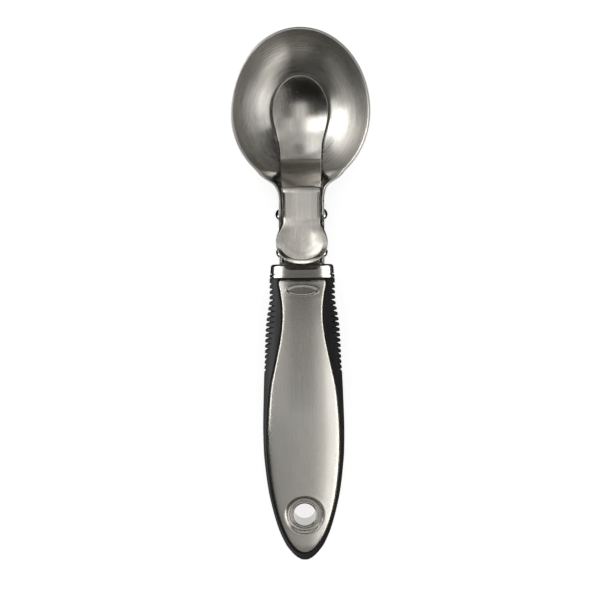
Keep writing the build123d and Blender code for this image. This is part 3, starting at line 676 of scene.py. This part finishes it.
def make_cover(name, side, nodes):
    T, M = 420, 81
    o = cover_outline(T)
    n = outline_normals(o)
    R = 0.95                                   # rolled edge
    inset = o - n * R
    inset[0] = [o[0, 0], o[0, 1] - R]
    inset[-1] = [0.0, o[-1, 1] + R]
    inset[:, 0] = np.maximum(inset[:, 0], 0.0)
    u = np.linspace(-1, 1, M)
    rows = []

    def lifted(x, y, drop):
        z = skin_z(x, y, side, 0.3) - side * drop
        return np.stack([x, y, z], -1)

    def dimple(p):
        r, a = hole_frame(p, side)
        floor = 5.45
        f = smooth((r - 6.5) / 2.3)
        cut = (1 - f) * np.maximum(0.0, a - floor)
        ridge = 0.07 * np.exp(-((r - 8.9) / 0.5) ** 2)
        q = p.copy()
        c, s = math.cos(HOLE_TILT), math.sin(HOLE_TILT)
        q[..., 2] += side * (ridge - cut) * c
        q[..., 1] += -side * (ridge - cut) * s
        if side > 0:                            # plain sunk oval near the collar, left blank
            e = np.hypot(p[..., 0] / 6.1, (p[..., 1] - 3.95) / 1.9)
            q[..., 2] -= 0.30 * (1 - smooth((e - 0.80) / 0.28)) - 0.05 * np.exp(-((e - 1.10) / 0.09) ** 2)
        return q

    body = []
    for i in range(T):
        x = u * inset[i, 0]
        y = np.full(M, inset[i, 1])
        body.append(dimple(lifted(x, y, 0.0)))
    arc = np.linspace(0, math.pi / 2, 7)[1:]
    edge_r = []
    for a in arc:
        d = R * math.sin(a)
        q = inset + n * d
        q[:, 0] = np.maximum(q[:, 0], 0.0)
        edge_r.append(lifted(q[:, 0], q[:, 1], R * (1 - math.cos(a))))
    edge_r.append(lifted(o[:, 0], o[:, 1], R + 0.35))
    edge_r = np.array(edge_r)                   # J, T, 3
    J = len(edge_r)
    verts = []
    for i in range(T):
        r = [edge_r[j, i] for j in range(J)]
        l = [np.array([-q[0], q[1], q[2]]) for q in r][::-1]
        verts.append(l + list(body[i]) + r)
    W = M + 2 * J
    v = np.array(verts)
    # the straight top edge, rolled over the same way
    top = []
    for j in range(J - 1, -1, -1):
        a = arc[j] if j < len(arc) else arc[-1]
        drop = R * (1 - math.cos(a)) if j < len(arc) else R + 0.35
        yy = inset[0, 1] + R * math.sin(a)
        top.append(lifted(u * inset[0, 0], np.full(M, yy), drop))
    faces = grid(T, W)
    base = T * W
    vv = [v.reshape(-1, 3), np.array(top).reshape(-1, 3)]
    for j in range(J - 1):
        for c in range(M - 1):
            a = base + j * M + c
            faces.append((a, a + 1, a + M + 1, a + M))
    a = base + (J - 1) * M
    for c in range(M - 1):
        faces.append((a + c, a + c + 1, J + c + 1, J + c))
    allv = np.vstack(vv)
    # open the hanging hole, its edge drawn onto a true circle under the sleeve's lip
    r, _ = hole_frame(allv, side)
    inside = r < 5.42
    faces = [f for f in faces if not any(inside[k] for k in f)]
    count = {}
    for f in faces:
        for k in range(4):
            e = tuple(sorted((f[k], f[(k + 1) % 4])))
            count[e] = count.get(e, 0) + 1
    rim = {k for e, c in count.items() if c == 1 for k in e if r[k] < 6.6}
    c_, s_ = math.cos(HOLE_TILT), math.sin(HOLE_TILT)
    for k in rim:
        x, y, z = allv[k]
        dy, dz = y - HOLE_Y, z - HOLE_Z
        b, h = dy * c_ + dz * s_, -dy * s_ + dz * c_
        g = 5.42 / math.hypot(x, b)
        x, b = x * g, b * g
        allv[k] = [x, HOLE_Y + b * c_ - h * s_, HOLE_Z + b * s_ + h * c_]
    used = sorted({k for f in faces for k in f})
    back = {k: i for i, k in enumerate(used)}
    faces = [tuple(back[k] for k in f) for f in faces]
    ob = build(name, allv[used], faces, "scoop", MAT_COVER, nodes)
    # an open sheet: face it outwards, then give it its thickness inwards
    bm = bmesh.new()
    bm.from_mesh(ob.data)
    mean = sum((f.normal * f.calc_area() for f in bm.faces), Vector())
    if mean.z * side < 0:
        bmesh.ops.reverse_faces(bm, faces=bm.faces)
    bm.to_mesh(ob.data)
    bm.free()
    m = ob.modifiers.new("sheet", "SOLIDIFY")
    m.thickness = 0.0006
    m.offset = -1.0
    m.use_even_offset = True
    m.use_quality_normals = True
    m.thickness_clamp = 0.8
    return ob


front = make_cover("front_cover_plate", 1, ["front_cover"])
rear = make_cover("rear_cover_plate", -1, ["rear_cover"])

FIN_PITCH, FIN_N, FIN_Y0 = 2.24, 17, 6.1


def make_grip():
    """U-shaped rubber band round the handle's flanks and tip, between the grooves of the two covers."""
    fine = np.linspace(0, 1, 1500)
    o = cover_outline(3000)
    n = outline_normals(o)
    # where each outline place looks out to on the silhouette
    g_out = o + n * 0.75
    k0 = np.argmax(o[:, 1] < 7.0)
    g_out, o, n = g_out[k0:], o[k0:], n[k0:]
    g_out[:, 0] = np.maximum(g_out[:, 0], 0.0)
    ys = np.concatenate([np.linspace(8.9, -100, 2500)[:-1], -100 - 10.72 * np.sin(np.linspace(0, 1, 900) * math.pi / 2)])
    hw = np.where(ys > -110.2, half_w(ys), 0)
    tipw = half_w(-110.2) * np.sqrt(np.maximum(0.0, 1 - ((-110.2 - ys) / 0.52) ** 2))
    hw = np.where(ys > -110.2, hw, tipw)
    sil = np.stack([hw, ys], -1)
    # rows: even in y on the flank, fanning round the tip
    R_FLANK = -88.0
    fin_rows = np.linspace(8.9, FIN_Y0 - FIN_N * FIN_PITCH, 17 * 20 + 22)
    flank = np.concatenate([fin_rows, np.linspace(fin_rows[-1], R_FLANK, 74)[1:]])
    so = np.concatenate([[0], np.cumsum(np.linalg.norm(np.diff(g_out, axis=0), axis=1))])
    ss = np.concatenate([[0], np.cumsum(np.linalg.norm(np.diff(sil, axis=0), axis=1))])
    io0 = np.interp(-R_FLANK, -g_out[:, 1], so)
    is0 = np.interp(-R_FLANK, -sil[:, 1], ss)
    tip = np.linspace(0, 1, 84)[1:]
    O, S, IN = [], [], []

    def at(curve, arc, q):
        return np.array([np.interp(q, arc, curve[:, 0]), np.interp(q, arc, curve[:, 1])])

    for y in flank:
        q = np.interp(-y, -g_out[:, 1], so) if y < g_out[0, 1] else 0.0
        a = at(g_out, so, q)
        O.append([a[0] if y < g_out[0, 1] else g_out[0, 0] - 0.0, y])
        S.append([float(half_w(y)), y])
        IN.append([-1.0, 0.0])
    for t in tip:
        a = at(g_out, so, io0 + (so[-1] - io0) * t)
        b = at(sil, ss, is0 + (ss[-1] - is0) * t)
        O.append(list(a))
        S.append(list(b))
    O, S = np.array(O), np.array(S)
    O[-1, 0] = S[-1, 0] = 0.0
    T = len(O)
    N = 72                                      # across, front groove to rear groove
    v = np.linspace(-1, 1, N + 1)
    phi0 = math.radians(63)
    ph = v * phi0
    gq = (np.cos(ph) ** (2 / POWER) - math.cos(phi0) ** (2 / POWER)) / (1 - math.cos(phi0) ** (2 / POWER))
    P = np.zeros((T, N + 1, 3))
    for i in range(T):
        xy = O[i] + (S[i] - O[i]) * gq[:, None]
        y = xy[:, 1]
        w = np.interp(-y, -sil[:, 1], sil[:, 0])
        h = np.where(y > -110.2, half_h(y), float(half_h(-110.2)) * np.sqrt(np.maximum(0, 1 - ((-110.2 - y) / 0.52) ** 2)))
        rel = np.maximum(0.0, 1 - (np.minimum(np.abs(xy[:, 0]) / np.maximum(w, 1e-6), 1.0)) ** POWER)
        rel[N // 2] = 0.0 if i < T - 1 else rel[N // 2]
        z = spine(y) + np.sign(-v) * h * rel ** (1 / POWER)
        z[N // 2] = spine(y[N // 2])
        P[i] = np.stack([xy[:, 0], y, z], -1)
    # outward direction of the skin
    du = np.gradient(P, axis=0)
    dv = np.gradient(P, axis=1)
    nm = np.cross(du, dv)
    nm /= np.maximum(1e-9, np.linalg.norm(nm, axis=2))[..., None]
    flip = nm[T // 3, N // 2, 0]
    nm *= 1.0 if flip > 0 else -1.0
    # cross slots between the fins
    D = np.zeros((T, N + 1))
    zz = (P[..., 2] - spine(P[..., 1]))
    y = P[..., 1]
    for i in range(FIN_N):
        u_ = i / (FIN_N - 1)
        yc = FIN_Y0 - i * FIN_PITCH
        reach = (0.42 + 0.32 * math.sin(math.pi * min(1.0, u_ * 1.12)) ** 0.8) if u_ < 0.89 else 0.42
        zm = reach * float(half_h(yc)) + 0.5
        q = np.abs(zz) / zm
        # the slot leans towards the tip at its inner ends and narrows there
        lean = 0.75 * q**1.5
        width = 0.62 * np.sqrt(np.maximum(0.0, 1 - q**3)) + 0.02
        prof = smooth((1.12 - np.abs(y - (yc + lean * 0.6)) / np.maximum(width, 0.05)) * 1.35)
        lens = np.sqrt(np.maximum(0.0, 1 - q**2.2))
        D = np.maximum(D, 1.75 * prof * lens * (q < 1))
    # rounded shoulders down into the grooves, and a rounded front end
    P2 = P - nm * D[..., None]
    front_end = smooth((P[:, :, 1] - 8.3) / 0.6)
    P2 = P2 - nm * (0.30 * front_end)[..., None]
    inner = P - nm * np.interp(P[:, N // 2, 1], [-111, -108, -100, 10], [0.8, 1.0, 2.0, 2.15])[:, None, None]
    rows = []
    steps = 4
    for i in range(T):
        loop = list(P2[i])

        def shoulder(edge, nrm, inward, depth):
            out = []
            r = 0.42
            for a in np.linspace(0, math.pi / 2, steps + 1)[1:]:
                out.append(edge + inward * r * math.sin(a) - nrm * r * (1 - math.cos(a)))
            out.append(edge + inward * r - nrm * depth)
            return out

        # the groove lies towards the handle's middle in plan
        a0 = P[i, 1] - P[i, 0]
        a1 = P[i, -2] - P[i, -1]
        inw1 = -a1 / max(1e-9, np.linalg.norm(a1))
        inw0 = -a0 / max(1e-9, np.linalg.norm(a0))
        e1 = shoulder(P2[i, -1], nm[i, -1], inw1, 1.05)
        e0 = shoulder(P2[i, 0], nm[i, 0], inw0, 1.05)
        floor1 = e1[-1] + inw1 * 0.62
        floor0 = e0[-1] + inw0 * 0.62
        loop += e1 + [floor1, floor1 - nm[i, -1] * 0.9]
        loop += list(inner[i][::-1])
        loop += [floor0 - nm[i, 0] * 0.9, floor0] + e0[::-1]
        rows.append(loop)
    right = np.array(rows)
    right[-1, :, 0] = 0.0
    right[..., 0] = np.maximum(right[..., 0], 0.0)
    left = right.copy()
    left[..., 0] *= -1
    nc = right.shape[1]
    both = np.vstack([right, left[::-1][1:]])
    f = grid(len(both), nc, close_c=True)
    for base in (0, (len(both) - 1) * nc):
        f.append(tuple(base + k for k in range(nc)))
    return build("grip_band", both.reshape(-1, 3), f, "scoop", MAT_RUBBER, ["soft_grip"], merge=0.002)


grip = make_grip()

# ------------------------------------------------------------------ return spring
def make_spring():
    """Torsion spring round the bush, with a lower leg and an upper leg, built as one still mesh attached to neither
    body.
    """
    wire, coil, pitch = 0.45, 3.1, 1.02
    turns = 5 + 0.5 - 20.0 / 360
    length = pitch * turns
    py, pz = 35.4, 22.0

    def place(a):
        """Point of the wire's centre line and its direction at angle a round the coil."""
        c = np.array([pitch * a / (2 * math.pi) - length / 2, py + coil * math.sin(a), pz - coil * math.cos(a)])
        t = np.array([pitch / (2 * math.pi), coil * math.cos(a), coil * math.sin(a)])
        return c, t / np.linalg.norm(t)

    (q0, t0), (q1, t1) = place(0.0), place(2 * math.pi * turns)
    pts = [q0 - t0 * d for d in np.linspace(10.6, 0.5, 16)]
    pts += [place(a)[0] for a in np.linspace(0.0, 2 * math.pi * turns, 260)]
    pts += [q1 + t1 * d for d in np.linspace(0.5, 9.6, 16)]
    pts = np.array(pts)
    tan = np.gradient(pts, axis=0)
    tan /= np.linalg.norm(tan, axis=1)[:, None]
    M = 18
    side = np.cross(tan[0], [1.0, 0.0, 0.0])
    rings = []
    for i in range(len(pts)):
        side = side - tan[i] * (side @ tan[i])
        side /= np.linalg.norm(side)
        up = np.cross(tan[i], side)
        ends = [(wire - 0.08, 0.0), (wire, 0.08)] if i in (0, len(pts) - 1) else [(wire, 0.0)]
        if i == len(pts) - 1:
            ends = ends[::-1]
        for rad, inset in ends:
            back = inset if i == 0 else -inset
            rings.append([pts[i] + tan[i] * back + rad * (side * math.cos(b) + up * math.sin(b))
                          for b in np.arange(M) * 2 * math.pi / M])
    f = grid(len(rings), M, close_c=True)
    f.append(tuple(range(M)))
    f.append(tuple((len(rings) - 1) * M + k for k in range(M)))
    o = build("torsion_spring", np.array(rings).reshape(-1, 3), f, None, MAT_SPRING,
              ["return_spring"], merge=0.002)
    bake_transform(o)
    return o


spring = make_spring()

# ------------------------------------------------------------------ finishes of the pieces kept from the CAD
for nm_, mat_ in (("neck_bolster", MAT_BOLSTER), ("pivot_rivet", MAT_RIVET), ("rear_rivet", MAT_RIVET),
                  ("hang_sleeve", MAT_SLEEVE), ("pivot_bush", MAT_PIN),
                  ("pivot_washers", MAT_WASHER), ("tang_pins", MAT_PIN), ("front_cover_studs", MAT_PIN),
                  ("rear_cover_studs", MAT_PIN), ("handle_core", MAT_CORE)):
    ob_ = frame["nodes"][nm_]
    ob_.data.materials.clear()
    ob_.data.materials.append(mat_)

# ------------------------------------------------------------------ floor, light, camera
floor_mat, fnt, fp = new_material("floor_paper")
tcn = node(fnt, "ShaderNodeTexCoord")
fn = noise(fnt, mapped(fnt, tcn.outputs["Object"], (40, 40, 40)), 1.0, 2.0)
fnt.links.new(mix_color(fnt, fn, (0.90, 0.90, 0.90), (0.93, 0.93, 0.93)), fp.inputs["Base Color"])
fp.inputs["Roughness"].default_value = 0.9
fp.inputs["Specular IOR Level"].default_value = 0.1
fp.inputs["Emission Color"].default_value = (1.0, 1.0, 1.0, 1)
fp.inputs["Emission Strength"].default_value = 0.72          # a lit sweep, so that shadows stay faint
fme = bpy.data.meshes.new("floor")
F = 6.0
fme.from_pydata([(-F, -F, -0.0002), (F, -F, -0.0002), (F, F, -0.0002), (-F, F, -0.0002)], [], [(0, 1, 2, 3)])
floor = bpy.data.objects.new("floor", fme)
bpy.context.scene.collection.objects.link(floor)
fme.materials.append(floor_mat)
floor.visible_glossy = False                  # polished edges keep their dark outline

world = bpy.data.worlds.new("studio")
bpy.context.scene.world = world
world.use_nodes = True
wnt = world.node_tree
bg = wnt.nodes["Background"]
bg.inputs["Color"].default_value = (1.0, 1.0, 1.0, 1)
bg.inputs["Strength"].default_value = 0.45
world.cycles_visibility.glossy = False        # the white room lights the floor; metal sees the soft boxes instead


def panel(name, loc, target, size_x, size_y, radiance, color=(1.0, 0.99, 0.965)):
    """A soft box: a rectangle of even radiance that the metal reflects."""
    l = bpy.data.lights.new(name, "AREA")
    l.shape = "RECTANGLE"
    l.size, l.size_y = size_x, size_y
    l.energy = radiance * math.pi * size_x * size_y
    l.color = color
    ob = bpy.data.objects.new(name, l)
    ob.location = loc
    d = Vector(target) - Vector(loc)
    ob.rotation_euler = d.to_track_quat("-Z", "Y").to_euler() if abs(d.x) + abs(d.y) > 1e-6 else (0, 0, 0)
    ob.visible_camera = False
    ob.visible_diffuse = False
    bpy.context.scene.collection.objects.link(ob)
    return ob


CEIL = 0.80


def lit(name, *obs):
    """The pieces that one group of soft boxes lights."""
    c = bpy.data.collections.new(name)
    for o in obs:
        c.objects.link(o)
    return c


N_ = frame["nodes"]
bowl_set = lit("lit_bowl", bowl, spring, N_["pivot_bush"], N_["pivot_washers"])
lever_set = lit("lit_lever", lever, N_["pivot_rivet"], N_["rear_rivet"])
bolster_set = lit("lit_bolster", N_["neck_bolster"])
handle_set = lit("lit_handle", front, rear, N_["handle_core"])
grip_set = lit("lit_grip", grip)
sleeve_set = lit("lit_sleeve", N_["hang_sleeve"])


def over(name, x0, x1, y0, y1, radiance, receivers):
    """Soft box in the ceiling."""
    c = ((x0 + x1) / 2, (y0 + y1) / 2)
    o = panel(name, (c[0], c[1], CEIL), (c[0], c[1], 0), x1 - x0, y1 - y0, radiance)
    o.light_linking.receiver_collection = receivers
    return o


def wall(name, side, a, b, z0, z1, radiance, receivers):
    """Soft box on a side of the room: side is L, R, D (handle end) or U (bowl end)."""
    m, z = (a + b) / 2, (z0 + z1) / 2
    loc, to = {"L": ((-1.3, m, z), (0, m, z)), "R": ((1.3, m, z), (0, m, z)),
               "D": ((m, -1.4, z), (m, 0, z)), "U": ((m, 1.4, z), (m, 0, z))}[side]
    o = panel(name, loc, to, b - a, z1 - z0, radiance)
    o.light_linking.receiver_collection = receivers
    return o


# bowl: key at the far left, weaker fill from the right
for nm_, x0, x1, y0, y1, rad in (
        ("bowl_key", -0.80, -0.45, 0.15, 0.45, 5.7), ("bowl_key_soft", -0.45, -0.15, 0.15, 0.45, 2.2),
        ("bowl_back_left", -1.30, -0.45, 0.45, 0.80, 1.8), ("bowl_left", -1.30, -0.80, -0.15, 0.15, 2.8),
        ("bowl_zenith", -0.15, 0.15, -0.15, 0.15, 1.1), ("bowl_right", 0.80, 1.30, -0.45, 0.45, 1.55),
        ("bowl_right_near", 0.45, 0.80, -0.45, -0.15, 1.2), ("bowl_front_left", -0.80, -0.15, -0.80, -0.45, 0.10)):
    over(nm_, x0, x1, y0, y1, rad, bowl_set)
wall("bowl_wall_left", "L", 0.05, 1.40, 0.37, 0.79, 9.6, bowl_set)
wall("bowl_wall_right", "R", -0.40, 0.10, 0.37, 0.79, 2.9, bowl_set)
wall("bowl_wall_right_near", "R", -1.40, -0.40, 0.02, 0.79, 1.3, bowl_set)
wall("bowl_wall_right_far", "R", 0.10, 0.60, 0.37, 0.79, 0.75, bowl_set)
# lever: bright towards the back left, dark to the front, low light at the handle end for the pad's rim
for nm_, x0, x1, y0, y1, rad in (
        ("lever_far_left", -0.80, -0.15, 0.80, 1.40, 1.5), ("lever_back_left", -0.80, -0.15, 0.45, 0.80, 1.30),
        ("lever_left", -1.30, -0.80, 0.15, 0.45, 5.0), ("lever_key", -0.80, -0.15, 0.15, 0.45, 2.7),
        ("lever_zenith", -0.15, 0.15, -0.09, 0.15, 1.10), ("lever_zenith_back", -0.15, 0.15, 0.15, 0.80, 0.50),
        ("lever_near_right", 0.15, 0.45, 0.15, 0.45, 0.85), ("lever_back_right", 0.15, 0.80, 0.45, 1.40, 0.5),
        ("lever_right", 0.80, 1.30, 0.15, 0.80, 2.1), ("lever_side_right", 0.45, 0.80, -0.45, 0.15, 0.6),
        ("lever_front", -1.30, 1.30, -1.40, -0.82, 0.9)):
    over(nm_, x0, x1, y0, y1, rad, lever_set)
wall("lever_wall_front", "D", -1.29, 1.29, 0.02, 0.79, 4.0, lever_set)
wall("lever_wall_far", "U", -1.20, 1.20, 0.32, 0.79, 0.50, lever_set)
wall("lever_wall_left", "L", -1.40, -0.40, 0.02, 0.79, 3.0, lever_set)
wall("lever_wall_right", "R", -1.40, -0.40, 0.02, 0.79, 3.0, lever_set)
wall("lever_wall_side", "R", -0.40, 0.60, 0.37, 0.79, 0.7, lever_set)
# collar: dark straight above, bright to both sides
over("collar_left", -1.30, -0.66, -1.20, 1.20, 2.6, bolster_set)
over("collar_right", 0.66, 1.30, -1.20, 1.20, 2.6, bolster_set)
over("collar_top", -0.65, 0.65, -1.20, 1.20, 0.18, bolster_set)
wall("collar_wall_left", "L", -1.40, 1.40, 0.02, 0.79, 4.4, bolster_set)
wall("collar_wall_right", "R", -1.40, 1.40, 0.02, 0.79, 4.4, bolster_set)
# the handle, under an even ceiling that brightens to the right
for nm_, x0, x1, y0, y1, rad in (
        ("handle_ceiling", -1.30, 0.15, -0.28, -0.15, 0.52), ("handle_ceiling_near", -1.30, 0.15, -1.40, -0.28, 0.44), ("handle_ceiling_left", -1.30, -0.15, -0.15, 0.15, 0.55),
        ("handle_zenith", -0.15, 0.15, -0.15, 0.15, 0.26), ("handle_ceiling_right", 0.15, 0.45, -1.40, 0.15, 0.80),
        ("handle_right", 0.45, 1.30, -1.40, 0.15, 1.55), ("handle_back_left", -1.30, -0.45, 0.15, 0.45, 2.2),
        ("handle_back", -1.30, 1.30, 0.80, 1.40, 0.9)):
    over(nm_, x0, x1, y0, y1, rad, handle_set)
wall("handle_wall_left", "L", -1.40, 0.60, 0.37, 0.79, 0.36, handle_set)
wall("handle_wall_right", "R", -1.40, 0.60, 0.37, 0.79, 1.5, handle_set)
wall("handle_edge_left", "L", -0.25, 1.00, 0.02, 0.36, 5.0, handle_set)
wall("handle_edge_right", "R", -1.40, 1.00, 0.02, 0.36, 4.0, handle_set)
wall("handle_wall_near", "D", -1.20, 1.20, 0.10, 0.79, 0.28, handle_set)
# the grip, from the left
for o_ in (wall("grip_left", "L", -1.40, 1.40, 0.10, 0.79, 3.4, grip_set),
           wall("grip_right", "R", -1.40, 1.40, 0.40, 0.79, 0.35, grip_set)):
    o_.visible_diffuse = True
over("grip_top", -1.30, -0.20, -1.40, 1.40, 0.15, grip_set)
# light that comes up through the hanging hole
hole = [float(v) for v in to_m([0.0, -90.4, 6.0])]
under = panel("sleeve_bounce", (hole[0], hole[1], 0.0004), (hole[0], hole[1], 1.0), 0.016, 0.016, 0.75)
under.rotation_euler = (math.pi, 0.0, 0.0)
under.light_linking.receiver_collection = sleeve_set
over("sleeve_zenith", -0.35, 0.35, -0.60, 0.30, 0.55, sleeve_set)
over("sleeve_right", 0.60, 1.30, -1.40, 0.20, 1.2, sleeve_set)
wall("sleeve_left", "L", -1.40, 0.40, 0.10, 0.79, 1.6, sleeve_set)

cam = bpy.data.cameras.new("camera")
cam_ob = bpy.data.objects.new("camera", cam)
bpy.context.scene.collection.objects.link(cam_ob)
bpy.context.scene.camera = cam_ob
K = 0.0004138
DIST = 0.70
cam.sensor_fit = "HORIZONTAL"
cam.sensor_width = 36.0
cam.lens = 36.0 * DIST / (600 * K)
cam.clip_start, cam.clip_end = 0.01, 10.0
ROLL = math.radians(0.62)
eye = Vector((-0.0010, float(to_m([0, 0, 26.0])[1]), float(to_m([0, 0, 26.0])[2]) + DIST))
cam_ob.location = eye
cam_ob.rotation_euler = (0.0, 0.0, -ROLL)

sc = bpy.context.scene
sc.view_settings.view_transform = "Standard"
sc.view_settings.look = "None"
sc.view_settings.exposure = 0.0
sc.view_settings.gamma = 1.0
